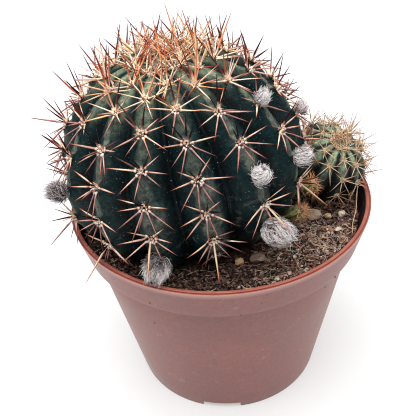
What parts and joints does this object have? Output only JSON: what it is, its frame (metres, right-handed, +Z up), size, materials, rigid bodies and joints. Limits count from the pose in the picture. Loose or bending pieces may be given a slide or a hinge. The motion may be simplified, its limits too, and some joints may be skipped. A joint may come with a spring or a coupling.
{
  "type": "potted golden easter lily cactus",
  "caption": "Ribbed globular cactus with spiny areoles, woolly buds and offsets, growing in soil in a tapered plastic nursery pot.",
  "frame": {"origin": "middle of the flat boss under the pot, on the surface that it stands on", "axes": "+Z up along the pot's axis, -Y towards the front, +X to the right seen from the front, where the offset grows"},
  "size_m": [0.1374, 0.1234, 0.1629],
  "materials": {
    "terracotta_plastic": "satin moulded plastic",
    "potting_mix": "dry crumbly peat and fibre",
    "cactus_skin": "waxy matte dark green",
    "young_skin": "waxy matte fresh green",
    "cactus_spines": "horny, cream to dark red-brown",
    "bud_wool": "matte grey-white hair",
    "stone": "dusty worn stone"
  },
  "bodies": {
    "root": {"pot": "terracotta_plastic", "potting_soil": "potting_mix", "main_stem": "cactus_skin", "offset_stem": "young_skin", "small_offset_upper": "young_skin", "small_offset_lower": "young_skin", "wool_bud_1": "bud_wool", "wool_bud_2": "bud_wool", "wool_bud_3": "bud_wool", "wool_bud_4": "bud_wool", "wool_bud_5": "bud_wool", "wool_bud_6": "bud_wool", "wool_bud_7": "bud_wool", "stone_1": "stone", "stone_2": "stone", "stone_3": "stone", "stone_4": "stone", "stone_5": "stone"}
  },
  "joints": []
}
